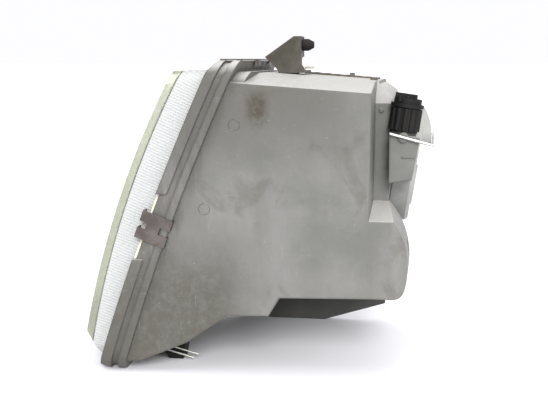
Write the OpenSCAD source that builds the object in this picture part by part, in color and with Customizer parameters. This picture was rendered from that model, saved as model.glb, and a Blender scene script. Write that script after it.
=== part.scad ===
// Car headlight assembly: glass lens, tapered housing, tilting reflector and its levelling drive.
// Millimetres.  -X is the way the light goes, +X the rear, +Z up, -Y the near side panel.

/* [Outside size] */
// Width across the lens frame
frame_width = 232; // [226:2:240]
// Height of the lens frame from the floor
frame_height = 284; // [282:1:290]
// How far the lens frame is deep, front to rear
frame_depth = 28; // [26:1:30]
// Thickness of the moulded housing walls
wall = 3; // [2.5:0.25:3.5]

/* [Lens] */
// Thickness of the glass side walls
glass = 4; // [3:0.5:5]
// Thickness of the glass front
glass_front = 6; // [5:0.5:7]

/* [Reflector and levelling] */
// Focal length of the main reflector
focal = 28; // [27:0.5:29]
// Height of the main reflector's axis
beam_z = 187; // [186:1:188]
// Sideways position of the main reflector's axis
beam_y = 10; // [9:1:11]
// Height of the reflector's tilt axis
tilt_z = 246; // [245:1:247]
// Height of the levelling rod
rod_z = 110; // [109:1:112]
// Radius of the ball studs
ball_r = 5; // [4.5:0.5:5]

/* [Rear cover] */
// Radius of the round rear cover
cover_r = 56; // [55:0.5:56]
// Lean of the cover's face from upright
cover_lean = 8.6; // [8:0.2:9]

/* [Hidden] */
$fn = 64;
half_w = frame_width / 2;
panel_y = half_w - 6;
lens_y = half_w - 10;
lens_low = 12;
lens_high = frame_height - 9;
corner_r = 18;
mouth_low = 31.5;
mouth_high = lens_high - 10;

// The front edge of the frame, and all that runs along it, follows one large arc
// drawn through the top and the foot of the frame.
arc_r = 2115;
arc_x = 1877.6;
arc_z = -617.6;
lens_arc_r = 867;
lens_arc_x = 693.3;
lens_arc_z = -131.3;
crown_r = 1500;
crown_rise = lens_y * lens_y / (2 * crown_r);

// Body outline stations
body_top_x = -16;
body_top_z = 264.5;
near_rear_x = 102.5;
tower_near_y = -45;
tower_foot_x = 112.6;
tower_foot_z = 127;
pod_x = 137;
pod_low_z = 76;
pod_high_z = 145;
roof_fall = 4.1;
roof_rise = 8.3;
shelf_rise = 8.6;
skirt = 6;
skirt_rest_x = 42;

// Rear cover seat
cover_x = 121;
cover_y = beam_y + 8;
cover_z = 186;
cover_deep = 20.3;
bail_x = 130;
bail_z = 216;
bail_bar_x = 156.6;
bail_bar_z = 209;
bail_near = -72;
bail_far = cover_y + cover_r + 6;

// Turn-lamp turret
turret_x = 129;
turret_y = -54;
turret_top = 217.5;
turret_lean = 8;

// Main reflector
vertex_x = 62;
reflector_low = 124;
reflector_high = 250;
reflector_near = -85;
reflector_far = 94;
skin = 2.4;
tilt_x = 10;
stud_near_y = -60;
stud_far_y = 80;
drive_y = -60;
ball_gap = 0.3;

clip_pin_x = vertex_x + 12;
clip_pin_z = beam_z + 27;

// Spring clips on the sides of the frame
clip_gap_low = 106;
clip_gap_high = 166;
clip_z = 138;
clip_tilt = 20.8;

// Fixings
screw_x = 16;
screw_y = [12, 36];
bush_bore = 3.2;
vent_y = 88;
vent_z = 100;

// Lower lamp
small_y = 20;
small_z = 75;
small_x = -62;
small_focal = 15;
small_r = 37;

// Levelling motor
motor_x = 60;
motor_r = 19;

// ---------- shared shapes ----------

// Flat shape in X and Z pushed out along Y from y0 to y1
module across(y0, y1) {
  translate([0, y1, 0])
    rotate([90, 0, 0])
      linear_extrude(height = y1 - y0)
        children();
}

// Flat shape in Y and Z pushed out along X from x0 to x1
module along(x0, x1) {
  translate([x0, 0, 0])
    rotate([90, 0, 90])
      linear_extrude(height = x1 - x0)
        children();
}

// Round bar along X
module bar_x(x0, x1, r, y, z) {
  translate([x0, y, z])
    rotate([0, 90, 0])
      cylinder(h = x1 - x0, r = r);
}

// Round bar along Y
module bar_y(y0, y1, r, x, z) {
  translate([x, y1, z])
    rotate([90, 0, 0])
      cylinder(h = y1 - y0, r = r);
}

// Round bar between two points
module bar_between(a, b, r) {
  d = b - a;
  translate(a)
    rotate([0, acos(d[2] / norm(d)), atan2(d[1], d[0])])
      cylinder(h = norm(d), r = r);
}

// Round rod along X with a ball at its front end: steps lists [x0, x1, radius] from the ball's centre
module ball_rod(y, z, steps) {
  translate([tilt_x, y, z])
    rotate([0, 90, 0])
      rotate_extrude()
        union() {
          intersection() {
            circle(r = ball_r);
            translate([0, -ball_r]) square([ball_r, 2 * ball_r]);
          }
          for (s = steps)
            translate([0, s[0]]) square([s[2], s[1] - s[0]]);
        }
}

// Wire through a list of points, a little thicker where it bends
module wire(path, r) {
  for (i = [0:len(path) - 2])
    bar_between(path[i], path[i + 1], r);
  for (point = path)
    translate(point) sphere(r = 1.06 * r);
}

// Rectangle with round corners in Y and Z, from y0 to y1 and z0 to z1
module round_rect(y0, y1, z0, z1, r) {
  translate([y0 + r, z0]) square([y1 - y0 - 2 * r, z1 - z0]);
  translate([y0, z0 + r]) square([y1 - y0, z1 - z0 - 2 * r]);
  for (y = [y0 + r, y1 - r])
    for (z = [z0 + r, z1 - r])
      translate([y, z]) circle(r = r);
}

// Everything behind the frame's front arc, moved back by the given distance
module behind_front(back) {
  translate([arc_x + back, arc_z]) circle(r = arc_r, $fn = 720);
}

// Band that follows the frame's front arc, from one distance behind it to another
module front_band(near, far, z0, z1) {
  intersection() {
    difference() {
      behind_front(near);
      behind_front(far);
    }
    translate([-200, z0]) square([280, z1 - z0]);
  }
}

// Distance along X from the upright plane to the frame's front arc at height z
function front_x(z) = arc_x - sqrt(arc_r * arc_r - (z - arc_z) * (z - arc_z));

// ---------- housing ----------

// One ring of the lens frame, from near to far behind the front edge, with its sides out to y
module frame_ring(near, far, y) {
  intersection() {
    across(-half_w - 5, half_w + 5) front_band(near, far, -10, frame_height + 10);
    along(-200, 60) round_rect(-y, y, half_w - y, frame_height - half_w + y, corner_r);
  }
}

// Frame that takes the lens: a raised lip, a ridge, and a narrow neck behind them
module frame_outer() {
  difference() {
    union() {
      frame_ring(0, frame_depth - 4, half_w - 2.5);
      frame_ring(0, 10, half_w);
      frame_ring(frame_depth - 11, frame_depth - 4, half_w);
      frame_ring(2, frame_depth + 8, half_w - 10);
    }
    // the lip stops short on each side, to leave room for the spring clips
    across(-half_w - 1, -half_w + 2.5) front_band(-1, 12, clip_gap_low, clip_gap_high);
    across(half_w - 2.5, half_w + 1) front_band(-1, 12, clip_gap_low, clip_gap_high);
    across(-half_w - 1, -lens_y - 1.5) front_band(-1, 3, clip_gap_low, clip_gap_high);
    across(lens_y + 1.5, half_w + 1) front_band(-1, 3, clip_gap_low, clip_gap_high);
    // slanted corners at the top front and at the foot
    translate([front_x(frame_height) - 4, 0, frame_height])
      rotate([0, -45, 0]) cube([12, 2 * half_w + 2, 12], center = true);
    translate([front_x(0), 0, 0])
      rotate([0, 45, 0]) cube([12, 2 * half_w + 2, 12], center = true);
  }
}

// Outline of the body seen from the side, drawn inward by i
module body_outline(i) {
  offset(delta = -i)
    polygon([[-60, 290], [near_rear_x + 1, 290], [near_rear_x, pod_high_z], [near_rear_x, pod_low_z],
             [23, pod_low_z - 2], [14, 57], [-23, 56], [-60, 30], [-103, 11], [-132, 7], [-152, 7],
             [-50, 285]]);
}

// Roof: a plane that falls to the rear and rises away from the near panel, then runs level
module roof_cut(i) {
  translate([body_top_x, -panel_y, body_top_z - i])
    rotate([roof_rise, roof_fall, 0])
      translate([-200, -60, 0]) cube([500, 400, 120]);
  translate([body_top_x, tower_near_y, body_top_z + 9 - i])
    rotate([0, roof_fall, 0])
      translate([-200, -200, 0]) cube([500, 500, 120]);
}

module main_box(i) {
  difference() {
    intersection() {
      across(-panel_y + i, panel_y - i) body_outline(i);
      across(-panel_y, panel_y) behind_front(frame_depth - 12 + i);
    }
    roof_cut(i);
  }
}

// Tower that carries the rear cover, leaning with it
module tower(i) {
  difference() {
    across(tower_near_y + i, panel_y - i)
      polygon([[60, pod_low_z + i], [112.5 - i, pod_low_z + i], [tower_foot_x - i, tower_foot_z],
               [126 - i, 216], [126.5 - i, 228], [124 - i, 242 - i], [117 - i, 254 - i],
               [106 - i, 262 - i], [96, 290], [60, 290]]);
    roof_cut(i);
    // slanted edge between the tower's near wall and the roof
    translate([60, tower_near_y, 245 - 1.4 * i])
      rotate([45, 0, 0]) cube([100, 40, 60]);
  }
}

// Pod at the lower rear on the near side, with a bulging end
module pod(i) {
  difference() {
    intersection() {
      across(-panel_y + i, tower_near_y + 8 - i)
        difference() {
          intersection() {
            translate([60, pod_low_z + i]) square([90, 90]);
            translate([60, 103]) circle(r = 77 - i, $fn = 128);
          }
          // round lower edge
          difference() {
            translate([125.6, pod_low_z - 2]) square([20, 9]);
            translate([125.6, pod_low_z + 9]) circle(r = 8.8 - i);
          }
        }
      translate([0, 0, 60])
        linear_extrude(height = 120) {
          translate([60, -panel_y + i]) square([62, 90]);
          translate([60, -panel_y + 15]) square([77 - i, 80]);
          translate([122, -panel_y + 15]) circle(r = 15 - i);
        }
    }
    translate([60, -panel_y, pod_high_z - i])
      rotate([shelf_rise, 0, 0])
        translate([-10, -20, 0]) cube([120, 160, 60]);
  }
}

// Turret for the turn-lamp bulb holder, on the near corner of the tower
module turret(i) {
  across(turret_y - 14 + i, turret_y + 14 - i)
    polygon([[117.5 + i, 174 + i], [138 - i, 177 + i], [144.8 - i, turret_top - 2.2 - i],
             [117.5 + i, turret_top + 1.7 - i]]);
}

// Skirt that carries the far wall on down to the floor, with a fixing hole at its rear
module far_skirt() {
  across(panel_y - skirt, panel_y)
    polygon([[-82, 30], [-52, 0], [skirt_rest_x, 0], [108.5, 20.6], [108.5, 90], [-30, 90]]);
}

// Eyes for the wire bail, on the turret and on the tower's far side
module bail_eyes() {
  bar_y(bail_near + 1.6, turret_y - 13, 4.5, bail_x, bail_z - 0.5);
  bar_y(bail_far - 5, bail_far - 1.6, 4.5, bail_x, bail_z - 0.5);
  translate([bail_x - 8, bail_far - 5, bail_z - 5]) cube([8, 3.4, 9]);
}

// Places its children on the rear cover's leaning seat, with +Z to the rear and -X upward
module on_cover() {
  translate([cover_x, cover_y, cover_z])
    rotate([0, 90 + cover_lean, 0])
      children();
}

// Places its children on top of the turret, with +Z along the bulb holder's axis
module on_turret() {
  translate([turret_x, turret_y, turret_top])
    rotate([0, turret_lean, 0])
      children();
}

module housing_solid() {
  frame_outer();
  main_box(0);
  tower(0);
  pod(0);
  turret(0);
  far_skirt();
  bail_eyes();
  on_cover() translate([0, 0, -1]) cylinder(h = 5.5, r = cover_r - 5);
  for (y = screw_y)
    translate([screw_x, y, 256]) cylinder(h = 16, r = 6);
}

module housing_void() {
  difference() {
    union() {
      main_box(wall);
      tower(wall);
      pod(wall);
      turret(wall);
      // ways from the box into the tower and the pod, and from the tower into the turret
      translate([80, tower_near_y + wall, pod_low_z + wall]) cube([26, panel_y - 2 * wall - tower_near_y, 168]);
      translate([80, -panel_y + wall, pod_low_z + wall]) cube([34, 66.5, 60]);
      translate([115, tower_near_y + 1, 184]) cube([8, 3, 24]);
    }
    // bosses that hold the ball studs, the bracket's screws and the motor
    bar_x(44, 130, 7, stud_near_y, tilt_z);
    bar_x(44, 130, 7, stud_far_y, tilt_z);
    for (y = screw_y)
      translate([screw_x, y, 256]) cylinder(h = 20, r = 6);
    translate([113, -panel_y, pod_low_z]) cube([3, 66, 70]);
    // wall of the recess beside the turn-lamp bulb holder
    on_turret() translate([0, 0, -2.6]) cylinder(h = 60, r = 18.8);
  }
  // mouth behind the lens
  intersection() {
    across(-half_w, half_w) front_band(-10, 38, 0, frame_height);
    along(-200, 60) round_rect(-lens_y + 8, lens_y - 8, mouth_low, mouth_high, 8);
  }
  // groove for the lens foot and its seal
  intersection() {
    across(-half_w, half_w) front_band(-10, 15, 0, frame_height);
    difference() {
      along(-200, 60) round_rect(-lens_y - 1.5, lens_y + 1.5, lens_low - 1.5, lens_high + 1.5, 13.5);
      along(-201, 61) round_rect(-lens_y + glass + 1.5, lens_y - glass - 1.5,
                                 lens_low + glass + 1.5, lens_high - glass - 1.5, 9);
    }
  }
}

module housing_holes() {
  on_cover() translate([0, 0, -22]) cylinder(h = 32, r = cover_r - 9);
  on_turret() {
    translate([0, 0, -11]) cylinder(h = 25, r = 8.5);
    // room under the rim for the bayonet lugs to turn
    translate([0, 0, -7]) cylinder(h = 4.1, r = 10.8);
    cube([22.4, 5.6, 14], center = true);
    // recess in the tower's corner beside the holder
    intersection() {
      translate([0, 0, 0.12]) cylinder(h = 60, r = 15.8);
      translate([-20, 0, 0]) cube([40, 20, 60]);
    }
  }
  bar_x(40, 98, 3, stud_near_y, tilt_z);
  bar_x(40, 98, 3, stud_far_y, tilt_z);
  bar_x(110, 140, 12, drive_y, rod_z);
  bar_y(panel_y - 10, panel_y + 10, 4.25, 93, 45);
  bar_y(bail_near, turret_y - 10, 1.35, bail_x, bail_z);
  bar_y(bail_far - 6, bail_far, 1.35, bail_x, bail_z);
  for (y = screw_y)
    translate([screw_x, y, 258]) cylinder(h = 30, r = 2);
  bar_x(104, 130, 5, vent_y, vent_z);
}

module housing() {
  color([0.60, 0.60, 0.57])
  difference() {
    housing_solid();
    housing_void();
    housing_holes();
  }
}

// ---------- lens and frame parts ----------

// Solid under the lens's doubly curved front, drawn inward by i
module lens_front(i) {
  difference() {
    translate([lens_arc_x, 0, lens_arc_z])
      rotate([90, 0, 0])
        rotate_extrude(angle = 30, start = 146, $fn = 256)
          intersection() {
            translate([lens_arc_r + crown_rise - crown_r, 0]) circle(r = crown_r - i, $fn = 256);
            translate([lens_arc_r - 160, -120]) square([200, 240]);
          }
    // the lower front corner leans back to the foot of the frame
    translate([-157.5, 0, 36])
      rotate([0, -28.8, 0])
        translate([i - 60, -half_w, -120]) cube([60, 2 * half_w, 220]);
  }
}

module lens() {
  color([0.85, 0.92, 0.85, 0.5])
  difference() {
    union() {
      intersection() {
        along(-220, 0) round_rect(-lens_y, lens_y, lens_low, lens_high, 12);
        lens_front(0);
        across(-half_w, half_w) front_band(-80, 11, 0, frame_height);
      }
      // bead round the foot, which the spring clips hook over
      intersection() {
        along(-220, 0) round_rect(-lens_y - 1.2, lens_y + 1.2, lens_low - 1.2, lens_high + 1.2, 13);
        across(-half_w, half_w) front_band(-3.6, -0.4, 0, frame_height);
      }
    }
    intersection() {
      along(-220, 0) round_rect(-lens_y + glass, lens_y - glass, lens_low + glass, lens_high - glass, 8);
      lens_front(glass_front);
      across(-half_w, half_w) front_band(-80, 12, 0, frame_height);
    }
  }
}

module lens_seal() {
  color([0.88, 0.84, 0.72])
  difference() {
    union() {
      intersection() {
        across(-half_w, half_w) front_band(11.1, 14.9, 0, frame_height);
        along(-200, 60) round_rect(-lens_y - 1.4, lens_y + 1.4, lens_low - 1.4, lens_high + 1.4, 13.4);
      }
      intersection() {
        across(-half_w, half_w) front_band(-0.3, 14.9, 0, frame_height);
        along(-200, 60) round_rect(-lens_y - 1.4, lens_y + 1.4, lens_low - 1.4, lens_high + 1.4, 13.4);
      }
    }
    along(-201, 61) round_rect(-lens_y + glass + 1.4, lens_y - glass - 1.4,
                               lens_low + glass + 1.4, lens_high - glass - 1.4, 9.1);
    intersection() {
      across(-half_w - 1, half_w + 1) front_band(-20, 11.1, 0, frame_height);
      along(-201, 61) round_rect(-lens_y - 0.1, lens_y + 0.1, lens_low - 0.1, lens_high + 0.1, 12.1);
    }
  }
}

// One spring clip over the frame's edge, from the given distance before it to another behind,
// with two tongues hooked over the lens and two bent down behind the ridge
module one_clip(before, reach) {
  difference() {
    translate([-before, -13, 0]) cube([before + reach + 1.2, 26, 1.2]);
    translate([-before - 1, -3, -1]) cube([8, 6, 4]);
    translate([reach - 8, -3.2, -1]) cube([12, 6.4, 4]);
  }
  for (v = [-13, 3.2]) {
    translate([-before, v, -9]) cube([1.2, 9.8, 9.5]);
    translate([reach, v, -5.9]) cube([1.2, 9.8, 6.4]);
  }
}

module lens_clips() {
  color([0.45, 0.42, 0.40]) {
    translate([front_x(clip_z), -half_w - 0.3, clip_z])
      rotate([0, clip_tilt, 0]) rotate([90, 0, 0]) one_clip(5, 22.8);
    translate([front_x(clip_z), half_w + 0.3, clip_z])
      rotate([0, clip_tilt, 0]) rotate([-90, 0, 0]) one_clip(5, 22.8);
    for (y = [-20, 62])
      translate([front_x(frame_height - 2), y, frame_height + 0.3]) one_clip(8.3, 25.2);
  }
}

// Plate round the two reflectors, with a skirt that fits the mouth of the housing
module inner_bezel() {
  color([0.70, 0.71, 0.72])
  difference() {
    union() {
      intersection() {
        across(-half_w, half_w) front_band(-8, -5.8, 0, frame_height);
        along(-200, 60) round_rect(-lens_y + 8.5, lens_y - 8.5, mouth_low + 0.5, mouth_high - 0.5, 8);
      }
      intersection() {
        across(-half_w, half_w) front_band(-8, 22, 0, frame_height);
        difference() {
          along(-200, 60) round_rect(-lens_y + 8.5, lens_y - 8.5, mouth_low + 0.5, mouth_high - 0.5, 8);
          along(-201, 61) round_rect(-lens_y + 10, lens_y - 10, mouth_low + 2, mouth_high - 2, 7);
        }
      }
    }
    along(-201, 61) round_rect(reflector_near + 5, reflector_far - 5, reflector_low + 6, reflector_high - 6, 6);
    bar_x(-200, 60, small_r - 2, small_y, small_z);
  }
}

// ---------- main reflector ----------

// Solid bowl under a parabola with its vertex at the origin, opening along +Z
module bowl(f, r, length) {
  steps = 14;
  rotate_extrude($fn = 96)
    polygon(concat([for (k = [0:steps]) [r * k / steps, pow(r * k / steps, 2) / (4 * f)]],
                   [[r, length], [0, length]]));
}

module reflector_space(i) {
  intersection() {
    translate([vertex_x + i, beam_y, beam_z]) rotate([0, -90, 0]) bowl(focal, 130, 220);
    along(-200, 80) round_rect(reflector_near + skin - i, reflector_far - skin + i,
                               reflector_low + skin - i, reflector_high - skin + i, 6);
    across(-half_w, half_w) behind_front(i > 0 ? 4 : 3);
  }
}

// Arm from the back of the reflector out to a ball socket
module socket_arm(y, z, low, high) {
  translate([-16, y - 6, low]) cube([19, 12, high - low]);
  bar_x(-1, 3, 8, y, z);
}

module main_reflector() {
  color([0.86, 0.87, 0.88])
  difference() {
    union() {
      reflector_space(skin);
      bar_x(vertex_x - 8, vertex_x + 6, 25, beam_y, beam_z);
      difference() {
        union() {
          socket_arm(stud_near_y, tilt_z, tilt_z - 6, reflector_high);
          socket_arm(stud_far_y, tilt_z, tilt_z - 6, reflector_high);
          socket_arm(drive_y, rod_z, rod_z - 6, reflector_low + 6);
        }
        translate([-20, -half_w, 100]) cube([4.5, 2 * half_w, 40]);
      }
      // lugs for the pin of the bulb's spring clip
      for (y = [-26, 20])
        translate([vertex_x - 12, beam_y + y, beam_z + 21]) cube([28, 6, 10]);
      translate([vertex_x - 2, beam_y - 4, beam_z - 30]) cube([11.6, 8, 8]);
    }
    reflector_space(0);
    bar_x(vertex_x - 12, vertex_x + 10, 19, beam_y, beam_z);
    // seat for the bulb's flange
    bar_x(vertex_x + 3.9, vertex_x + 10, 22, beam_y, beam_z);
    bar_y(beam_y - 30, beam_y + 30, 1.05, clip_pin_x, clip_pin_z);
  }
}

module ball_studs() {
  color([0.55, 0.55, 0.56])
  for (y = [stud_near_y, stud_far_y])
    ball_rod(y, tilt_z, [[0, 35, 2.4], [28, 33.9, 5], [33, 86, 2.95]]);
}

// Plastic socket with a round hollow that opens to the rear, past a narrower mouth
module one_socket(y, z) {
  translate([tilt_x, y, z])
    rotate([0, 90, 0])
      rotate_extrude()
        difference() {
          translate([0, 3 - tilt_x]) square([8, tilt_x + 0.4]);
          circle(r = ball_r + ball_gap);
          translate([-1, 0]) square([5, 5]);
        }
}

module ball_sockets() {
  color([0.93, 0.93, 0.90]) {
    // the upper two have round windows in their sides, on the tilt axis
    for (y = [stud_near_y, stud_far_y])
      difference() {
        one_socket(y, tilt_z);
        bar_y(y - 9, y + 9, 1.6, tilt_x, tilt_z);
      }
    one_socket(drive_y, rod_z);
  }
}

// ---------- main bulb ----------

module bulb_glass() {
  color([0.90, 0.93, 0.96, 0.5])
  difference() {
    union() {
      bar_x(22, vertex_x - 4, 8.5, beam_y, beam_z);
      translate([22, beam_y, beam_z]) sphere(r = 8.5);
    }
    bar_x(22, vertex_x - 3, 7.5, beam_y, beam_z);
    translate([22, beam_y, beam_z]) sphere(r = 7.5);
  }
}

module bulb_base() {
  color([0.74, 0.74, 0.72]) {
    difference() {
      union() {
        bar_x(vertex_x - 6, vertex_x + 4, 10.5, beam_y, beam_z);
        bar_x(vertex_x + 4, vertex_x + 5.6, 21.5, beam_y, beam_z);
        bar_x(vertex_x + 5, vertex_x + 14, 14, beam_y, beam_z);
      }
      bar_x(vertex_x - 7, vertex_x - 3.9, 8.55, beam_y, beam_z);
    }
    for (t = [[-8, 0], [8, 0], [0, 8]])
      translate([vertex_x + 13, beam_y + t[0] - (t[1] > 0 ? 4 : 0.4), beam_z + t[1] - (t[1] > 0 ? 0.4 : 4)])
        cube([9, t[1] > 0 ? 8 : 0.8, t[1] > 0 ? 0.8 : 8]);
  }
}

// Two coiled filaments on their posts, and the small shield under one of them
module bulb_filaments() {
  color([0.50, 0.50, 0.52])
  for (f = [[28, 0], [40, 2.5]]) {
    bar_x(f[0] - 2.5, f[0] + 2.5, 0.7, beam_y, beam_z + f[1]);
    for (x = [f[0] - 2.2, f[0] + 2.2]) {
      translate([x, beam_y, beam_z - 5]) cylinder(h = 5 + f[1], r = 0.35, $fn = 16);
      bar_x(x, vertex_x - 3.95, 0.35, beam_y, beam_z - 5);
    }
  }
}

// Wire spring that presses the bulb's flange home; it turns on a pin at the top
module bulb_clip() {
  $fn = 24;
  color([0.70, 0.70, 0.72]) {
    bar_y(beam_y - 25, beam_y + 25, 1, clip_pin_x, clip_pin_z);
    wire([[clip_pin_x, beam_y - 18.2, clip_pin_z], [clip_pin_x - 0.2, beam_y - 18.2, beam_z - 14],
          [vertex_x + 11, beam_y - 3, beam_z - 26], [vertex_x + 11, beam_y + 3, beam_z - 26],
          [clip_pin_x - 0.2, beam_y + 18.2, beam_z - 14], [clip_pin_x, beam_y + 18.2, clip_pin_z]], 0.85);
  }
}

module bulb_plug() {
  color([0.12, 0.12, 0.13])
  difference() {
    union() {
      translate([vertex_x + 15, beam_y - 13, beam_z - 7]) cube([17, 26, 20]);
      translate([vertex_x + 28, beam_y - 9, beam_z - 4]) cube([9, 18, 12]);
    }
    for (t = [-8, 8])
      translate([vertex_x + 14, beam_y + t - 0.7, beam_z - 4.3]) cube([12, 1.4, 8.6]);
    translate([vertex_x + 14, beam_y - 4.3, beam_z + 7.3]) cube([12, 8.6, 1.4]);
  }
}

// ---------- rear cover ----------

// Raised nose in the upper part of the cover, drawn inward by i
module cover_nose(i) {
  intersection() {
    translate([-17.3, 0, -33])
      rotate([90, 0, 0])
        translate([0, 0, -40]) cylinder(h = 80, r = 64 - i, $fn = 128);
    translate([-28, 0, 0]) cylinder(h = 40, r = 30 - i);
    translate([-70, -60, 6])
      cube([70 - 22.5 - i, 120, 40]);
  }
}

module rear_cover() {
  color([0.66, 0.67, 0.65])
  on_cover()
    difference() {
      union() {
        translate([0, 0, 1]) cylinder(h = cover_deep - 4, r = cover_r);
        translate([0, 0, cover_deep - 3]) cylinder(h = 3, r1 = cover_r, r2 = cover_r - 2.5);
        cover_nose(0);
        // ribs across the face
        for (y = [-36, -12, 12, 36])
          translate([4, y - 1, cover_deep - 1]) cube([40 - abs(y) / 2, 2, 2.4]);
      }
      translate([0, 0, 0.9]) cylinder(h = 4.1, r = cover_r - 3.8);
      translate([0, 0, 4.9]) cylinder(h = cover_deep - 7.5, r = cover_r - 8);
      cover_nose(2.5);
    }
}

module rear_cover_seal() {
  color([0.10, 0.10, 0.10])
  on_cover()
    translate([0, 0, 1])
      difference() {
        cylinder(h = 3.4, r = cover_r - 3.9);
        translate([0, 0, -1]) cylinder(h = 6, r = cover_r - 4.9);
      }
}

module cover_bail() {
  $fn = 24;
  tail = 11.5;
  slope = (bail_bar_z - bail_z) / (bail_bar_x - bail_x);
  color([0.80, 0.80, 0.78]) {
    wire([[bail_x - tail, bail_near, bail_z - tail * slope], [bail_bar_x, bail_near, bail_bar_z],
          [bail_bar_x, bail_far, bail_bar_z], [bail_x, bail_far, bail_z], [bail_x, bail_far - 5, bail_z]], 1.2);
    bar_y(bail_near, bail_near + 5, 1.1, bail_x, bail_z);
  }
}

// ---------- turn lamp ----------

module turn_bulb_holder() {
  color([0.13, 0.13, 0.13])
  on_turret() {
    translate([0, 0, -9]) cylinder(h = 12, r = 8);
    for (a = [90, 270])
      rotate(a) translate([6, -2.4, -6.2]) cube([4.3, 4.8, 2.7]);
    translate([0, 0, 2.4]) cylinder(h = 22.6, r = 12.6);
    for (a = [0:30:330])
      rotate(a) translate([12, 0, 4]) cylinder(h = 20, r = 2.3, $fn = 24);
    translate([0, 0, 25]) cylinder(h = 3, r = 15);
    translate([0, 0, 28]) cylinder(h = 5, r = 12.5);
    translate([-12, -2.5, 32]) cube([20, 5, 5]);
    for (x = [-7, 0, 7])
      translate([x - 1, -11, 30]) cube([2, 22, 5]);
  }
}

module turn_holder_seal() {
  color([0.25, 0.24, 0.22])
  on_turret()
    difference() {
      translate([0, 0, 0.2]) cylinder(h = 2.1, r = 12);
      translate([0, 0, -1]) cylinder(h = 5, r = 8.8);
    }
}

module turn_bulb() {
  color([0.95, 0.60, 0.20, 0.7])
  on_turret()
    translate([0, 0, -20]) {
      cylinder(h = 11, r = 4.8);
      sphere(r = 5.1);
    }
}

// ---------- levelling drive ----------

module levelling_motor() {
  color([0.16, 0.16, 0.17])
  difference() {
    union() {
      bar_x(motor_x, 112.9, motor_r, drive_y, rod_z);
      bar_x(motor_x - 6, motor_x + 1, 8, drive_y, rod_z);
      // plug socket on top
      translate([84, drive_y - 8, rod_z + 16]) cube([20, 16, 12]);
    }
    bar_x(motor_x - 7, 96, 3.06, drive_y, rod_z);
    bar_x(95, 114, 4.06, drive_y, rod_z);
  }
}

module levelling_rod() {
  color([0.90, 0.90, 0.88])
  ball_rod(drive_y, rod_z, [[0, 14, 2.4], [12, 76, 3]]);
}

module trim_knob() {
  color([0.92, 0.92, 0.90])
  difference() {
    union() {
      bar_x(97, 118, 4, drive_y, rod_z);
      bar_x(116.5, 133, 10.5, drive_y, rod_z);
    }
    translate([130, drive_y - 12, rod_z - 1.2]) cube([4, 24, 2.4]);
    for (a = [0:45:315])
      translate([116, drive_y + 11.3 * cos(a), rod_z + 11.3 * sin(a)])
        rotate([0, 90, 0]) cylinder(h = 20, r = 1.8, $fn = 24);
  }
}

// ---------- lower lamp ----------

module small_bowl(i) {
  intersection() {
    translate([small_x + i, small_y, small_z]) rotate([0, -90, 0]) bowl(small_focal, 50, 90);
    bar_x(-160, 0, small_r + i, small_y, small_z);
    across(-half_w, half_w) behind_front(i > 0 ? -5.7 : -7);
  }
}

module small_reflector() {
  color([0.86, 0.87, 0.88])
  difference() {
    union() {
      small_bowl(skin);
      bar_x(small_x - 3, small_x + 8, 12, small_y, small_z);
    }
    small_bowl(0);
    bar_x(small_x - 10, small_x + 10, 8.5, small_y, small_z);
  }
}

module small_bulb_holder() {
  color([0.14, 0.14, 0.14])
  difference() {
    union() {
      bar_x(small_x - 2, small_x + 9, 8.45, small_y, small_z);
      bar_x(small_x + 8.1, small_x + 14, 11, small_y, small_z);
    }
    bar_x(small_x - 3, small_x + 4, 3.6, small_y, small_z);
  }
}

module small_bulb() {
  color([0.90, 0.93, 0.96, 0.6]) {
    bar_x(small_x - 14, small_x + 3.9, 3.5, small_y, small_z);
    bar_x(small_x - 16, small_x - 4, 5, small_y, small_z);
    translate([small_x - 16, small_y, small_z]) sphere(r = 5);
  }
}

// ---------- fixings ----------

module top_bracket() {
  color([0.36, 0.35, 0.31])
  difference() {
    union() {
      across(-2, 0.5)
        polygon([[-7, 287.2], [21.4, 307.2], [28.2, 307.2], [26.3, 285], [34.2, 272], [8, 272], [0, 281]]);
      translate([25.8, -1, 272]) cube([2.4, 27, 35.2]);
      translate([6, -1, 272]) cube([27, 45, 2.4]);
    }
    bar_x(20, 40, 4.1, 13, 299);
    bar_x(20, 40, 5.1, 13, 281);
    for (y = screw_y)
      translate([screw_x, y, 268]) cylinder(h = 10, r = 2.3);
  }
}

module bracket_screws() {
  color([0.70, 0.70, 0.68])
  for (y = screw_y)
    translate([screw_x, y, 0])
      difference() {
        union() {
          translate([0, 0, 259]) cylinder(h = 16, r = 1.95);
          translate([0, 0, 274.5]) cylinder(h = 3, r = 4);
        }
        translate([0, 0, 276]) cylinder(h = 3, r = 1.7, $fn = 6);
      }
}

module locating_peg() {
  color([0.10, 0.10, 0.11]) {
    bar_x(24, 30, 4, 13, 299);
    bar_x(28.4, 34, 5.8, 13, 299);
    translate([34, 13, 299]) rotate([0, 90, 0]) cylinder(h = 5.5, r1 = 5.8, r2 = 3);
  }
}

module fixing_bush() {
  color([0.86, 0.85, 0.82])
  difference() {
    union() {
      bar_x(23, 40, 5, 13, 281);
      bar_x(28.4, 31, 6.5, 13, 281);
    }
    bar_x(20, 45, bush_bore, 13, 281);
  }
}

module vent_cap() {
  color([0.12, 0.12, 0.12]) {
    bar_x(106, 118, 4.9, vent_y, vent_z);
    bar_x(114.2, 120, 8, vent_y, vent_z);
  }
}

module support_foot() {
  color([0.12, 0.13, 0.13]) {
    across(-66, -48)
      polygon([[-99, 12.7], [-90, 0], [-76, 0], [-72, 24.6]]);
  }
}

// Two light spring wires across the foot's near face, each with one end set into the foot
module foot_springs() {
  color([0.75, 0.75, 0.72])
  for (i = [0, 1])
    translate([5 * i, -67.4, 3.6 * i])
      wire([[-94, 6, 10], [-94, 0, 10], [-66, 0, 2.6]], 0.9, $fn = 24);
}

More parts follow.
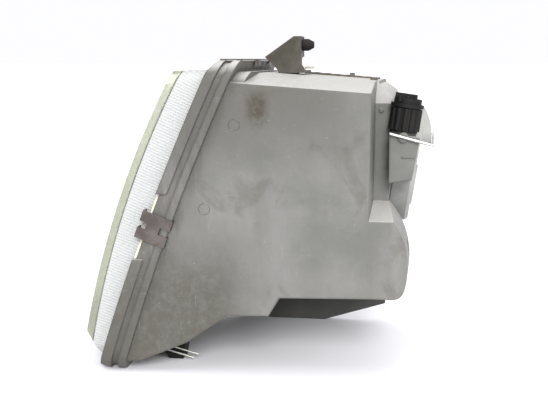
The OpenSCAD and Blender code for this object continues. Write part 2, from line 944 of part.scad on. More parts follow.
// Loom from behind the bulb's plug to the other lamps and the motor, clear of the plug as it tilts
module inner_wires() {
  color([0.20, 0.20, 0.22]) {
    wire([[103.4, 6, beam_z], [106, 0, beam_z - 16], [104, -20, 154], [95, drive_y, 148],
          [94, drive_y, rod_z + 29.5]], 1.3, $fn = 8);
    wire([[103.4, 10, beam_z], [108, 14, beam_z - 20], [84, 30, 104], [20, 30, 92],
          [-30, small_y, small_z], [small_x + 15.5, small_y, small_z]], 1.3, $fn = 8);
  }
}

housing();
lens();
lens_seal();
lens_clips();
inner_bezel();
main_reflector();
ball_studs();
ball_sockets();
bulb_glass();
bulb_base();
bulb_filaments();
bulb_clip();
bulb_plug();
rear_cover();
rear_cover_seal();
cover_bail();
turn_bulb_holder();
turn_holder_seal();
turn_bulb();
levelling_motor();
levelling_rod();
trim_knob();
small_reflector();
small_bulb_holder();
small_bulb();
top_bracket();
bracket_screws();
locating_peg();
fixing_bush();
vent_cap();
support_foot();
foot_springs();
inner_wires();
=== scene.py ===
import math

import bmesh
import bpy
from mathutils import Matrix, Vector


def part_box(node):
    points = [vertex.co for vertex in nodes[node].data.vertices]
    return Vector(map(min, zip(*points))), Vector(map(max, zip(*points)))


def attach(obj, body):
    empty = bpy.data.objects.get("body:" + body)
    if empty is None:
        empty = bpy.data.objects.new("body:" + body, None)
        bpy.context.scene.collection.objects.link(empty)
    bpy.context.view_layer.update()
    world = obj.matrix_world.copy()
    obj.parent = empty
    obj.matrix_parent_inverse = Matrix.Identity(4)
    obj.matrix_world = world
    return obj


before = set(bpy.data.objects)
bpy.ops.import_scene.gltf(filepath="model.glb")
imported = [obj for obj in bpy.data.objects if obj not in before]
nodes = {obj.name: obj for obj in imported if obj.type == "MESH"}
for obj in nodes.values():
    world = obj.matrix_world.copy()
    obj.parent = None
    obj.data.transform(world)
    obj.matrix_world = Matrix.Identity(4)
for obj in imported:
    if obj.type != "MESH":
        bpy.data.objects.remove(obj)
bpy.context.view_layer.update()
MM = 0.001

# ---------- places worked out from the frame ----------

housing_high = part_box("housing")[1]
lens_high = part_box("lens")[1]

# The lens frame stands out from the panels, and the lens has a bead round its foot
FRAME_STEP = 6 * MM
LENS_BEAD = 1.2 * MM
near_panel = -(housing_high.y - FRAME_STEP)
lens_side = lens_high.y - LENS_BEAD

# The lens frame and the lens front follow two large arcs in the X-Z plane: centre X, centre Z, radius
FRAME_ARC = (1877.6 * MM, -617.6 * MM, 2115 * MM)
LENS_ARC = (693.3 * MM, -131.3 * MM, 867 * MM)

# Glass of the lens: its thickness at the sides and the front, and the sideways crown of the front
SIDE_GLASS = 4 * MM
FRONT_GLASS = 6 * MM
CROWN = 1500 * MM
FLUTE_PITCH = 2.6 * MM


# ---------- mesh helpers ----------


def new_piece(name, bm, material, body="housing", smooth=True):
    """Turns a bmesh into a named piece that rides on a body."""
    mesh = bpy.data.meshes.new(name)
    bmesh.ops.recalc_face_normals(bm, faces=bm.faces)
    bm.to_mesh(mesh)
    bm.free()
    piece = bpy.data.objects.new(name, mesh)
    bpy.context.scene.collection.objects.link(piece)
    mesh.materials.append(material)
    if smooth:
        mesh.shade_smooth()
    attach(piece, body)


def soften(node, width):
    """Rounds a CAD node's sharp edges with modifiers and leaves its own mesh as it is."""
    piece = nodes[node]
    weld = piece.modifiers.new("weld", "WELD")
    weld.merge_threshold = 0.01 * MM
    merge = piece.modifiers.new("merge flats", "DECIMATE")
    merge.decimate_type = "DISSOLVE"
    merge.angle_limit = math.radians(0.6)
    edge = piece.modifiers.new("round edges", "BEVEL")
    edge.width = width
    edge.segments = 2
    edge.limit_method = "ANGLE"
    edge.angle_limit = math.radians(32)
    edge.harden_normals = False
    edge.miter_outer = "MITER_ARC"
    normal = piece.modifiers.new("even shading", "WEIGHTED_NORMAL")
    normal.keep_sharp = True
    normal.weight = 80
    piece.data.shade_smooth()


def join_rings(bm, a, b):
    """Faces between two rings of the same number of corners."""
    count = len(a)
    for k in range(count):
        bm.faces.new((a[k], a[(k + 1) % count], b[(k + 1) % count], b[k]))


def join_along(bm, rings):
    """Faces along an open row of rings, with a cap on each end."""
    for a, b in zip(rings, rings[1:]):
        join_rings(bm, a, b)
    bm.faces.new(rings[0])
    bm.faces.new(tuple(reversed(rings[-1])))


def tube(bm, points, radius, sides):
    """Sweeps a round section along a line of points."""
    rings = []
    last = len(points) - 1
    for i, point in enumerate(points):
        along = (points[min(i + 1, last)] - points[max(i - 1, 0)]).normalized()
        side = along.cross(Vector((0, 0, 1))).normalized()
        up = side.cross(along)
        ring = []
        for k in range(sides):
            turn = 2 * math.pi * k / sides
            offset = side * math.cos(turn) + up * math.sin(turn)
            ring.append(bm.verts.new(point + offset * radius))
        rings.append(ring)
    join_along(bm, rings)


def block(bm, low, high):
    """A box from its low corner to its high corner, in metres."""
    size = Vector(high) - Vector(low)
    centre = (Vector(high) + Vector(low)) / 2
    place = Matrix.Translation(centre) @ Matrix.Diagonal((*size, 1))
    bmesh.ops.create_cube(bm, size=1, matrix=place)


# ---------- material helpers ----------


class Graph:
    """A material's node tree, with short calls for the nodes that it needs."""

    def __init__(self, name):
        self.material = bpy.data.materials.new(name)
        self.material.use_nodes = True
        self.tree = self.material.node_tree
        self.tree.nodes.clear()
        self.place = self.add("ShaderNodeTexCoord").outputs["Object"]

    def add(self, kind, **settings):
        node = self.tree.nodes.new(kind)
        for key, value in settings.items():
            setattr(node, key, value)
        return node

    def put(self, socket, value):
        """Links an output to a socket, or sets a plain value on it."""
        if hasattr(value, "is_linked"):
            self.tree.links.new(value, socket)
        else:
            socket.default_value = value

    def stretched(self, scale, turn=(0, 0, 0)):
        """Object coordinates scaled, and turned by degrees."""
        node = self.add("ShaderNodeMapping")
        self.put(node.inputs["Vector"], self.place)
        node.inputs["Scale"].default_value = scale
        node.inputs["Rotation"].default_value = [math.radians(a) for a in turn]
        return node.outputs["Vector"]

    def noise(self, scale, detail=4.0, rough=0.55, where=None, twist=0.0):
        node = self.add("ShaderNodeTexNoise")
        self.put(node.inputs["Vector"], where or self.place)
        node.inputs["Scale"].default_value = scale
        node.inputs["Detail"].default_value = detail
        node.inputs["Roughness"].default_value = rough
        node.inputs["Distortion"].default_value = twist
        return node.outputs["Fac"]

    def span(self, value, low, high, out_low=0.0, out_high=1.0):
        """Maps value from low..high to out_low..out_high, clamped and eased."""
        node = self.add("ShaderNodeMapRange", interpolation_type="SMOOTHSTEP")
        self.put(node.inputs["Value"], value)
        node.inputs["From Min"].default_value = low
        node.inputs["From Max"].default_value = high
        node.inputs["To Min"].default_value = out_low
        node.inputs["To Max"].default_value = out_high
        return node.outputs["Result"]

    def math(self, operation, a, b=0.0):
        node = self.add("ShaderNodeMath", operation=operation)
        self.put(node.inputs[0], a)
        self.put(node.inputs[1], b)
        return node.outputs[0]

    def times(self, *values):
        """Product of two or more values."""
        product = values[0]
        for value in values[1:]:
            product = self.math("MULTIPLY", product, value)
        return product

    def mix(self, factor, a, b):
        """Colour a where factor is 0 and b where it is 1."""
        node = self.add("ShaderNodeMix", data_type="RGBA")
        self.put(node.inputs["Factor"], factor)
        self.put(node.inputs["A"], a)
        self.put(node.inputs["B"], b)
        return node.outputs["Result"]

    def parts(self, vector):
        """The X, Y and Z of a vector."""
        node = self.add("ShaderNodeSeparateXYZ")
        self.put(node.inputs[0], vector)
        return node.outputs[0], node.outputs[1], node.outputs[2]

    def facing_up(self):
        """The upward part of the surface's own normal."""
        return self.parts(self.add("ShaderNodeNewGeometry").outputs["Normal"])[2]

    def edges(self, radius):
        """How far a rounded normal leaves the true one, which marks the edges."""
        rounded = self.add("ShaderNodeBevel", samples=4)
        rounded.inputs["Radius"].default_value = radius
        dot = self.add("ShaderNodeVectorMath", operation="DOT_PRODUCT")
        self.put(dot.inputs[0], rounded.outputs[0])
        self.put(dot.inputs[1], self.add("ShaderNodeNewGeometry").outputs["Normal"])
        return self.math("SUBTRACT", 1.0, dot.outputs["Value"])

    def creases(self, reach):
        """How closed in the surface is, where painted shade and grime go."""
        node = self.add("ShaderNodeAmbientOcclusion", samples=6, only_local=True)
        node.inputs["Distance"].default_value = reach
        return self.math("SUBTRACT", 1.0, node.outputs["AO"])

    def arc_depth(self, arc):
        """How far the surface lies inside an arc drawn in the X-Z plane."""
        x, _, z = self.parts(self.place)
        lift = self.math("SUBTRACT", z, arc[1])
        reach = self.math("SUBTRACT", arc[0], x)
        squares = self.math("ADD", self.math("POWER", lift, 2), self.math("POWER", reach, 2))
        return self.math("SUBTRACT", arc[2], self.math("SQRT", squares))

    def bump(self, height, strength, distance, normal=None):
        node = self.add("ShaderNodeBump")
        self.put(node.inputs["Height"], height)
        node.inputs["Strength"].default_value = strength
        node.inputs["Distance"].default_value = distance
        if normal is not None:
            self.put(node.inputs["Normal"], normal)
        return node.outputs["Normal"]

    def done(self, color, roughness, normal=None, **fixed):
        shader = self.add("ShaderNodeBsdfPrincipled")
        self.put(shader.inputs["Base Color"], color)
        self.put(shader.inputs["Roughness"], roughness)
        if normal is not None:
            self.put(shader.inputs["Normal"], normal)
        for key, value in fixed.items():
            self.put(shader.inputs[key.replace("_", " ")], value)
        out = self.add("ShaderNodeOutputMaterial")
        self.put(out.inputs["Surface"], shader.outputs[0])
        return self.material


# ---------- materials ----------

# Colours of the grey plastic, of what has settled on it, and of the painted shade and light on it
PLASTIC_DEEP = (0.102, 0.103, 0.094, 1)
PLASTIC_PALE = (0.146, 0.144, 0.136, 1)
PLASTIC_RUNS = (0.104, 0.102, 0.088, 1)
PLASTIC_WORN = (0.30, 0.295, 0.275, 1)
SCUFF = (0.30, 0.295, 0.285, 1)
DUST_AND_TOP_LIGHT = (0.46, 0.45, 0.43, 1)
TOP_SHADE = (0.070, 0.066, 0.056, 1)
LOW_CORNER_DARK = (0.056, 0.052, 0.040, 1)
SMUDGE = (0.070, 0.060, 0.045, 1)
BROWN_STAIN = (0.040, 0.030, 0.020, 1)
FRAME_DIRT = (0.066, 0.062, 0.052, 1)
SPECK = (0.065, 0.06, 0.048, 1)
CREASE_SHADE_AND_GRIME = (0.040, 0.036, 0.028, 1)
UNDER_POD_SHADE = (0.012, 0.012, 0.010, 1)


def grey_plastic(g, broad):
    """Uneven grey with faint upright runs."""
    color = g.mix(g.span(broad, 0.32, 0.66), PLASTIC_DEEP, PLASTIC_PALE)
    runs = g.noise(1.0, 4, 0.6, g.stretched((42, 42, 7)), 0.3)
    return g.mix(g.span(runs, 0.42, 0.72, 0, 0.5), color, PLASTIC_RUNS)


def top_shade_corner_and_smudges(g, color, fine):
    """Painted shade darkens the upper part, the lower front corner is darker and browner, and smudges
    lie between.
    """
    x, _, z = g.parts(g.place)
    high = g.times(g.span(z, 170 * MM, 250 * MM), g.span(x, 120 * MM, 50 * MM))
    # painted shade over the upper part, fading out towards the rear
    color = g.mix(g.times(high, 0.8), color, TOP_SHADE)
    # darker and browner towards the lower front corner, broken up by the fine noise
    low = g.times(g.span(z, 150 * MM, 70 * MM), g.span(x, 10 * MM, -40 * MM))
    low = g.times(low, g.span(fine, 0.25, 0.6, 0.6, 1.0))
    color = g.mix(g.times(low, 0.9), color, LOW_CORNER_DARK)
    patches = g.span(g.noise(24, 4, 0.6, None, 0.6), 0.56, 0.68)
    smudges = g.times(patches, g.span(fine, 0.25, 0.6, 0.5, 1))
    return g.mix(g.times(smudges, 0.45), color, SMUDGE)


def brown_stained(g, color, fine):
    """A brown stain high on the near panel, behind the frame."""
    x, _, z = g.parts(g.place)
    off_centre = g.math("ABSOLUTE", g.math("SUBTRACT", x, 4 * MM))
    across = g.span(off_centre, 3 * MM, 14 * MM, 1, 0)
    upward = g.times(g.span(z, 221 * MM, 240 * MM), g.span(z, 262 * MM, 248 * MM))
    stain = g.times(across, upward, g.span(fine, 0.30, 0.55, 0.3, 1))
    return g.mix(stain, color, BROWN_STAIN)


def soiled_frame(g, color, frame_part):
    """The frame is dirtier than the body behind it, in streaks that run down it."""
    streaks = g.noise(1.0, 5, 0.65, g.stretched((160, 160, 26), (0, 20, 0)))
    share = g.math("ADD", 0.08, g.times(g.span(streaks, 0.35, 0.62), 0.55))
    return g.mix(g.times(frame_part, share), color, FRAME_DIRT)


def speckled(g, color):
    """Small dark specks and pale grains."""
    specks = g.noise(650, 3, 0.7)
    color = g.mix(g.span(specks, 0.63, 0.72, 0, 0.45), color, SPECK)
    grains = g.noise(420, 2, 0.6)
    return g.mix(g.span(grains, 0.70, 0.76, 0, 0.35), color, SCUFF)


def scratches(g, broad):
    """Fine scratches in two directions, where the plastic has been handled."""
    steep = g.noise(1.0, 2, 0.5, g.stretched((900, 900, 24), (0, 38, 0)))
    level = g.noise(1.0, 2, 0.5, g.stretched((24, 700, 800), (0, 25, 0)))
    either = g.math("MAXIMUM", g.span(steep, 0.69, 0.75), g.span(level, 0.70, 0.76))
    return g.times(either, g.span(broad, 0.45, 0.6))


def dust_top_light_and_worn_edges(g, color, fine):
    """Dust and painted top light on whatever faces up, and pale worn edges."""
    dust = g.times(g.span(g.facing_up(), 0.35, 0.95), g.span(fine, 0.2, 0.55, 0.75, 1.0))
    # dust with painted light: faces that point up are made paler
    color = g.mix(g.times(dust, 0.8), color, DUST_AND_TOP_LIGHT)
    worn = g.times(g.span(g.edges(1.2 * MM), 0.02, 0.25), g.span(fine, 0.3, 0.6))
    return g.mix(g.times(worn, 0.4), color, PLASTIC_WORN)


def shade_and_grime_in_creases(g, color, fine, frame_part):
    """Painted shade with grime in the creases, most of all in those of the frame's upper part."""
    z = g.parts(g.place)[2]
    crease_dark = g.times(g.span(g.creases(10 * MM), 0.22, 0.75), g.span(fine, 0.2, 0.6, 0.5, 1.0))
    crease_weight = g.math("ADD", 0.08, g.times(frame_part, g.span(z, 120 * MM, 220 * MM, 0.15, 0.9)))
    # painted shade in the creases, mixed with grime
    return g.mix(g.times(crease_dark, crease_weight, 0.85), color, CREASE_SHADE_AND_GRIME)


def shaded_skirt(g, color):
    """Painted shade on the inner face of the far skirt, under the pod, lighter towards the floor."""
    _, y, z = g.parts(g.place)
    inner_face = g.times(g.span(y, 90 * MM, 100 * MM), g.span(y, 109.8 * MM, 109.2 * MM))
    below_pod = g.times(g.span(z, 80 * MM, 72 * MM), g.span(z, 0, 35 * MM, 0.5, 0.95))
    # painted shade, darkest up under the pod
    return g.mix(g.times(inner_face, below_pod), color, UNDER_POD_SHADE)


def housing_plastic():
    """Grey moulded plastic: dusty and painted lighter on top, stained, scuffed, with painted shade and
    grime in its corners and painted shade under the pod.
    """
    g = Graph("housing plastic")
    broad = g.noise(13, 5, 0.6)
    fine = g.noise(150, 6, 0.65)
    frame_part = g.span(g.arc_depth(FRAME_ARC), 34 * MM, 27 * MM)
    scratch = scratches(g, broad)
    color = grey_plastic(g, broad)
    color = top_shade_corner_and_smudges(g, color, fine)
    color = brown_stained(g, color, fine)
    color = soiled_frame(g, color, frame_part)
    color = speckled(g, color)
    color = g.mix(g.times(scratch, 0.4), color, SCUFF)
    color = dust_top_light_and_worn_edges(g, color, fine)
    color = shade_and_grime_in_creases(g, color, fine, frame_part)
    color = shaded_skirt(g, color)
    rounded = g.add("ShaderNodeBevel", samples=4)
    rounded.inputs["Radius"].default_value = 2.8 * MM
    grain = g.bump(g.noise(1600, 2, 0.5), 0.25, 0.2 * MM, rounded.outputs[0])
    waves = g.bump(g.noise(30, 3, 0.5), 0.35, 1.2 * MM, grain)
    normal = g.bump(scratch, 0.3, 0.1 * MM, waves)
    return g.done(color, g.span(fine, 0.3, 0.7, 0.42, 0.62), normal, Specular_IOR_Level=0.45)


def lens_glass():
    """Pressed glass: finely fluted and milky at the sides, clear and a little green at the front."""
    g = Graph("lens glass")
    x, _, z = g.parts(g.place)
    depth = g.arc_depth(LENS_ARC)
    front = g.span(depth, 7.8 * MM, 7.0 * MM)
    side = g.math("SUBTRACT", 1.0, front)
    # the flutes fan out from the centre of the frame's arc
    lift = g.math("SUBTRACT", z, FRAME_ARC[1])
    turn = g.math("ARCTAN2", lift, g.math("SUBTRACT", FRAME_ARC[0], x))
    wave = g.math("SINE", g.times(turn, 2 * math.pi * FRAME_ARC[2] / FLUTE_PITCH))
    groove = g.times(g.span(wave, -1.0, 1.0), side)
    color = g.mix(front, (0.66, 0.67, 0.665, 1), (0.80, 0.83, 0.66, 1))
    color = g.mix(g.times(groove, 0.35), color, (0.46, 0.47, 0.47, 1))
    inner_line = g.times(g.span(depth, 6.2 * MM, 6.8 * MM), g.span(depth, 8.2 * MM, 7.6 * MM))
    color = g.mix(g.times(inner_line, 0.75), color, (0.10, 0.11, 0.08, 1))
    dirt = g.noise(60, 5, 0.6)
    by_frame = g.span(g.arc_depth(FRAME_ARC), -6 * MM, 2 * MM)
    edge_dirt = g.times(by_frame, g.span(dirt, 0.35, 0.6))
    color = g.mix(g.times(edge_dirt, 0.4), color, (0.42, 0.40, 0.32, 1))
    rough = g.math("ADD", g.span(dirt, 0.45, 0.8, 0.03, 0.14), g.times(side, 0.24))
    clear = g.math("SUBTRACT", 0.80, g.times(side, 0.35))
    ripples = g.bump(g.noise(120, 2, 0.5), 0.1, 0.3 * MM)
    normal = g.bump(groove, 0.5, 0.5 * MM, ripples)
    return g.done(color, rough, normal, IOR=1.5, Transmission_Weight=clear)


def shifted(color, factor, extra=0.0):
    """A colour made darker or lighter, and still opaque."""
    return [min(1, c * factor + extra) for c in color[:3]] + [1]


def clear_glass(name, color, rough=0.02):
    """Clear glass with faint streaks."""
    g = Graph(name)
    streak = g.noise(80, 3, 0.5)
    tint = g.mix(g.span(streak, 0.4, 0.8), color, shifted(color, 0.96))
    return g.done(tint, g.span(streak, 0.4, 0.8, rough, rough + 0.05), IOR=1.5, Transmission_Weight=1.0)


def metal(name, light, dark, rough, rust=0.0):
    """Sheet or wire metal, unevenly dulled, lightly rusted and worn bright along its edges."""
    g = Graph(name)
    lines = g.noise(1.0, 3, 0.6, g.stretched((1500, 1500, 260)))
    blotch = g.noise(110, 6, 0.7)
    dull = g.noise(45, 4, 0.6)
    color = g.mix(g.span(dull, 0.35, 0.65), dark, light)
    color = g.mix(g.span(lines, 0.35, 0.75, 0, 0.25), color, dark)
    color = g.mix(g.span(blotch, 0.55, 0.72, 0, rust), color, (0.10, 0.055, 0.03, 1))
    worn = g.span(g.edges(0.6 * MM), 0.02, 0.3, 0, 0.6)
    color = g.mix(worn, color, shifted(light, 1.6))
    roughness = g.span(blotch, 0.3, 0.7, rough, rough + 0.2)
    return g.done(color, roughness, g.bump(lines, 0.15, 0.2 * MM), Metallic=0.85)


def moulded(name, color, lighter, rough, dusty=0.35, shine=0.5):
    """Plain moulded plastic or rubber with dust, faint mottling and a fine grain."""
    g = Graph(name)
    mottle = g.noise(70, 5, 0.6)
    base = g.mix(g.span(mottle, 0.3, 0.75), color, lighter)
    dust = g.times(g.span(g.facing_up(), 0.3, 0.95), g.span(g.noise(240, 5, 0.7), 0.35, 0.7))
    base = g.mix(g.times(dust, dusty), base, (0.30, 0.28, 0.25, 1))
    worn = g.span(g.edges(0.6 * MM), 0.03, 0.3, 0, dusty)
    base = g.mix(worn, base, shifted(color, 2.0, 0.01))
    roughness = g.span(mottle, 0.3, 0.7, rough, rough + 0.18)
    grain = g.bump(g.noise(900, 3, 0.5), 0.3, 0.2 * MM)
    return g.done(base, roughness, grain, Specular_IOR_Level=shine)


def mirror_coat():
    """Vacuum-metallised reflector with faint haze and dust."""
    g = Graph("reflector coat")
    haze = g.noise(50, 5, 0.65)
    color = g.mix(g.span(haze, 0.4, 0.8), (0.93, 0.935, 0.94, 1), (0.86, 0.86, 0.86, 1))
    rough = g.span(haze, 0.4, 0.85, 0.05, 0.16)
    return g.done(color, rough, g.bump(g.noise(200, 2, 0.5), 0.05, 0.2 * MM), Metallic=1.0)


def silver_lacquer():
    """Silver paint with fine flakes and a dull haze."""
    g = Graph("silver lacquer")
    flake = g.noise(2500, 2, 0.5)
    haze = g.noise(40, 5, 0.6)
    color = g.mix(g.span(flake, 0.35, 0.65), (0.52, 0.53, 0.54, 1), (0.66, 0.67, 0.68, 1))
    color = g.mix(g.span(haze, 0.5, 0.8, 0, 0.3), color, (0.42, 0.42, 0.41, 1))
    return g.done(color, g.span(haze, 0.3, 0.7, 0.28, 0.42), g.bump(flake, 0.1, 0.1 * MM), Metallic=0.6)


def cream_seal():
    """Cream rubber, yellowed in patches."""
    g = Graph("cream seal")
    mottle = g.noise(150, 5, 0.6)
    color = g.mix(g.span(mottle, 0.3, 0.7), (0.66, 0.60, 0.44, 1), (0.80, 0.76, 0.64, 1))
    return g.done(color, g.span(mottle, 0.3, 0.7, 0.45, 0.65), g.bump(mottle, 0.3, 0.4 * MM))


HOUSING = housing_plastic()
GLASS = lens_glass()
SEAL = cream_seal()
CLIP = metal("clip steel", (0.145, 0.127, 0.120, 1), (0.085, 0.074, 0.070, 1), 0.38, 0.6)
BRACKET = metal("bracket steel", (0.090, 0.083, 0.071, 1), (0.062, 0.057, 0.049, 1), 0.5, 0.5)
BRIGHT_WIRE = metal("bright wire", (0.72, 0.72, 0.68, 1), (0.52, 0.52, 0.48, 1), 0.25, 0.1)
PLATED = metal("plated steel", (0.62, 0.61, 0.57, 1), (0.45, 0.44, 0.40, 1), 0.3, 0.2)
TUNGSTEN = metal("tungsten", (0.35, 0.35, 0.36, 1), (0.22, 0.22, 0.23, 1), 0.3)
MIRROR = mirror_coat()
SILVER = silver_lacquer()
NYLON = moulded("white nylon", (0.74, 0.74, 0.69, 1), (0.80, 0.80, 0.76, 1), 0.35)
BUSH = moulded("bush plastic", (0.70, 0.69, 0.64, 1), (0.78, 0.77, 0.72, 1), 0.4)
BLACK = moulded("black plastic", (0.006, 0.006, 0.0065, 1), (0.012, 0.011, 0.010, 1), 0.5,
                dusty=0.06, shine=0.15)
RUBBER = moulded("black rubber", (0.02, 0.02, 0.02, 1), (0.035, 0.034, 0.032, 1), 0.6)
WIRING = moulded("wire insulation", (0.03, 0.03, 0.035, 1), (0.05, 0.05, 0.055, 1), 0.45)
COVER = moulded("cover plastic", (0.22, 0.224, 0.212, 1), (0.275, 0.277, 0.26, 1), 0.45)
SEAM = moulded("brown sealant", (0.05, 0.042, 0.032, 1), (0.09, 0.075, 0.058, 1), 0.5)
BULB = clear_glass("bulb glass", (0.98, 0.99, 1.0, 1))
FLUTE_GLASS = clear_glass("fluted glass", (0.97, 0.985, 0.97, 1), 0.05)
AMBER = clear_glass("amber glass", (1.0, 0.42, 0.05, 1))

LOOKS = {
    "housing": HOUSING,
    "lens": GLASS,
    "lens_seal": SEAL,
    "lens_clips": CLIP,
    "inner_bezel": SILVER,
    "main_reflector": MIRROR,
    "ball_studs": PLATED,
    "ball_sockets": NYLON,
    "bulb_glass": BULB,
    "bulb_base": PLATED,
    "bulb_filaments": TUNGSTEN,
    "bulb_clip": BRIGHT_WIRE,
    "bulb_plug": BLACK,
    "rear_cover": COVER,
    "rear_cover_seal": RUBBER,
    "cover_bail": BRIGHT_WIRE,
    "turn_bulb_holder": BLACK,
    "turn_holder_seal": RUBBER,
    "turn_bulb": AMBER,
    "levelling_motor": BLACK,
    "levelling_rod": NYLON,
    "trim_knob": NYLON,
    "small_reflector": MIRROR,
    "small_bulb_holder": BLACK,
    "small_bulb": BULB,
    "top_bracket": BRACKET,
    "bracket_screws": PLATED,
    "locating_peg": BLACK,
    "fixing_bush": BUSH,
    "vent_cap": RUBBER,
    "support_foot": BLACK,
    "foot_springs": BRIGHT_WIRE,
    "inner_wires": WIRING,
}


# Width of the rounded edges, in millimetres
ROUNDING = {
    "housing": 1.2,
    "lens": 0.8,
    "lens_clips": 0.25,
    "inner_bezel": 0.5,
    "main_reflector": 0.4,
    "rear_cover": 0.8,
    "turn_bulb_holder": 0.4,
    "top_bracket": 0.4,
    "bulb_plug": 0.6,
    "support_foot": 0.8,
    "trim_knob": 0.4,
    "levelling_motor": 0.8,
    "locating_peg": 0.3,
    "bulb_base": 0.2,
    "vent_cap": 0.5,
    "bracket_screws": 0.2,
    "fixing_bush": 0.2,
}


def dress_nodes():
    """Gives each CAD node its material and its rounded edges."""
    for name, node in nodes.items():
        node.data.materials.clear()
        node.data.materials.append(LOOKS[name])
        if name in ROUNDING:
            soften(name, ROUNDING[name] * MM)
        else:
            node.data.shade_smooth()


# ---------- details too fine for the CAD parts ----------


def loop(bm, centre, radius, thick, sides=40, section=8):
    """Thin round bead lying in the X-Z plane."""
    rings = []
    for i in range(sides):
        turn = 2 * math.pi * i / sides
        out = Vector((math.cos(turn), 0, math.sin(turn)))
        ring = []
        for k in range(section):
            roll = 2 * math.pi * k / section
            offset = out * (radius + thick * math.cos(roll)) + Vector((0, thick * math.sin(roll), 0))
            ring.append(bm.verts.new(centre + offset))
        rings.append(ring)
    for i in range(sides):
        join_rings(bm, rings[i], rings[(i + 1) % sides])


def ejector_marks():
    """Round marks that the mould's pins leave on the near panel."""
    upper = Vector((-16.3 * MM, near_panel, 228 * MM))
    lower = Vector((-43.9 * MM, near_panel, 152.9 * MM))
    bm = bmesh.new()
    for centre in (upper, lower):
        loop(bm, centre, 5 * MM, 0.3 * MM)
    new_piece("ejector_marks", bm, HOUSING)


def small_mouldings():
    """Nub on the tower's near wall and rib on the turret's near side."""
    bm = bmesh.new()
    nub = Matrix.Translation((108.9 * MM, -45 * MM, 238.5 * MM)) @ Matrix.Rotation(math.pi / 2, 4, "X")
    bmesh.ops.create_cone(bm, cap_ends=True, segments=24, radius1=2.6 * MM, radius2=2.2 * MM,
                          depth=2.4 * MM, matrix=nub)
    rib_low = Vector((129.1, -69, 197)) * MM
    rib_high = Vector((140.7, -67.5, 198.6)) * MM
    block(bm, rib_low, rib_high)
    new_piece("small_mouldings", bm, HOUSING, smooth=False)


def roof_seam():
    """Bead of sealant along the roof, with a tab and a small clip beside it."""
    front = Vector((24.6, 60, 271.9)) * MM
    rear = Vector((101.7, 60, 265.6)) * MM
    steps = 24
    bead = []
    for i in range(steps + 1):
        wobble = Vector((0, 0, 0.25 * MM * math.sin(1.9 * i)))
        bead.append(front.lerp(rear, i / steps) + wobble)
    bm = bmesh.new()
    tube(bm, bead, 1.3 * MM, sides=8)
    tab_low, tab_high = Vector((71, 58, 266)) * MM, Vector((76, 62, 271.6)) * MM
    block(bm, tab_low, tab_high)
    clip_low, clip_high = Vector((95.5, -2, 262)) * MM, Vector((103, 2, 267.6)) * MM
    block(bm, clip_low, clip_high)
    new_piece("roof_seam", bm, SEAM, smooth=False)


def reach_of_ray(start, way, arc, inside):
    """Distance along a ray in the X-Z plane to the given depth inside an arc."""
    x, z = start[0] - arc[0], start[1] - arc[1]
    along = x * way[0] + z * way[1]
    gap = x * x + z * z - (arc[2] - inside) ** 2
    return -along + math.sqrt(along * along - gap)


def side_flutes():
    """Fine ridges inside both side walls of the lens, from the frame out to the front."""
    foot_z, top_z = 34 * MM, 240 * MM
    behind_frame = 4 * MM
    short_of_front = 8 * MM
    half_width = 0.32 * FLUTE_PITCH
    height, sunk = 0.7 * MM, 0.15 * MM
    wall = lens_side - SIDE_GLASS
    radius = FRAME_ARC[2] - behind_frame
    turn = math.asin((foot_z - FRAME_ARC[1]) / FRAME_ARC[2])
    last = math.asin((top_z - FRAME_ARC[1]) / FRAME_ARC[2])
    bm = bmesh.new()
    while turn < last:
        way = (-math.cos(turn), math.sin(turn))
        start = (FRAME_ARC[0] + radius * way[0], FRAME_ARC[1] + radius * way[1])
        length = reach_of_ray(start, way, LENS_ARC, short_of_front)
        for side in (-1, 1):
            ends = []
            for far in (0, length):
                x = start[0] + far * way[0]
                z = start[1] + far * way[1]
                base_y = side * (wall + sunk)
                low = bm.verts.new((x - half_width * way[1], base_y, z + half_width * way[0]))
                high = bm.verts.new((x + half_width * way[1], base_y, z - half_width * way[0]))
                crest = bm.verts.new((x, side * (wall - height), z))
                ends.append((low, high, crest))
            join_along(bm, ends)
        turn += FLUTE_PITCH / FRAME_ARC[2]
    new_piece("side_flutes", bm, FLUTE_GLASS, smooth=False)


def front_flutes():
    """Upright ridges inside the front of the lens, which spread the light sideways."""
    each_side, spacing = 15, 6.2 * MM
    foot_z, rise_z, rows = 40 * MM, 7.1 * MM, 31
    half_width, height, sunk = 1.5 * MM, 0.9 * MM, 0.15 * MM
    crown_rise = lens_side * lens_side / (2 * CROWN)
    bm = bmesh.new()
    for i in range(-each_side, each_side + 1):
        y = i * spacing
        # inner face of the front at this Y, as a circle round the lens arc's centre
        radius = LENS_ARC[2] + crown_rise - CROWN + math.sqrt((CROWN - FRONT_GLASS) ** 2 - y * y)
        rings = []
        for k in range(rows):
            turn = math.asin((foot_z + k * rise_z - LENS_ARC[1]) / radius)
            ring = []
            for aside, inward in ((-half_width, -sunk), (half_width, -sunk), (0, height)):
                reach = radius - inward
                x = LENS_ARC[0] - reach * math.cos(turn)
                z = LENS_ARC[1] + reach * math.sin(turn)
                ring.append(bm.verts.new((x, y + aside, z)))
            rings.append(ring)
        join_along(bm, rings)
    new_piece("front_flutes", bm, FLUTE_GLASS, smooth=False)


# ---------- stage ----------


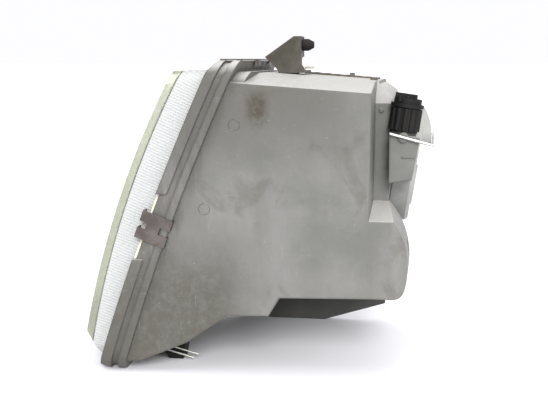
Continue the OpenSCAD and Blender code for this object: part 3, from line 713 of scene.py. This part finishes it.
def lay_floor():
    """Wide pale floor."""
    bm = bmesh.new()
    bmesh.ops.create_grid(bm, x_segments=1, y_segments=1, size=60)
    mesh = bpy.data.meshes.new("floor")
    bm.to_mesh(mesh)
    bm.free()
    floor = bpy.data.objects.new("floor", mesh)
    bpy.context.scene.collection.objects.link(floor)
    g = Graph("pale floor")
    color = g.mix(g.noise(3, 3), (0.77, 0.77, 0.80, 1), (0.80, 0.80, 0.83, 1))
    mesh.materials.append(g.done(color, 0.7))


def direction(high, round_from):
    """Unit vector at a height above level and a turn round from +X, in degrees."""
    high = math.radians(high)
    turn = math.radians(round_from)
    return Vector((math.cos(high) * math.cos(turn), math.cos(high) * math.sin(turn), math.sin(high)))


def sun(name, high, round_from, wide, power):
    """Very soft light from a direction; wide is the angle that it fills, in degrees."""
    data = bpy.data.lights.new(name, "SUN")
    data.angle = math.radians(wide)
    data.energy = power
    lamp = bpy.data.objects.new(name, data)
    lamp.rotation_euler = direction(high, round_from).to_track_quat("Z", "Y").to_euler()
    bpy.context.scene.collection.objects.link(lamp)


def light_stage():
    """Pale surroundings, a main light from the near side and two weaker ones."""
    world = bpy.data.worlds.new("studio")
    bpy.context.scene.world = world
    world.use_nodes = True
    background = world.node_tree.nodes["Background"]
    background.inputs["Color"].default_value = (0.985, 0.985, 1.0, 1)
    background.inputs["Strength"].default_value = 1.0
    sun("front", high=25, round_from=284, wide=20, power=3.1)
    sun("overhead", high=78, round_from=262, wide=50, power=0.9)
    sun("right", high=22, round_from=330, wide=40, power=1.4)
    bpy.context.scene.view_settings.view_transform = "Standard"


def set_camera():
    """Camera at the photograph's angle: 9 degrees round to the rear and 8.28 degrees down."""
    round_to_rear = 9.0
    looking_down = 8.28
    data = bpy.data.cameras.new("camera")
    data.sensor_width = 36
    data.lens = 65.7
    data.clip_start = 10 * MM
    camera = bpy.data.objects.new("camera", data)
    camera.location = (0.1556, -0.971, 0.2844)
    ahead = direction(-looking_down, 90 + round_to_rear)
    camera.rotation_euler = ahead.to_track_quat("-Z", "Y").to_euler()
    bpy.context.scene.collection.objects.link(camera)
    bpy.context.scene.camera = camera


dress_nodes()
ejector_marks()
small_mouldings()
roof_seam()
side_flutes()
front_flutes()
lay_floor()
light_stage()
set_camera()
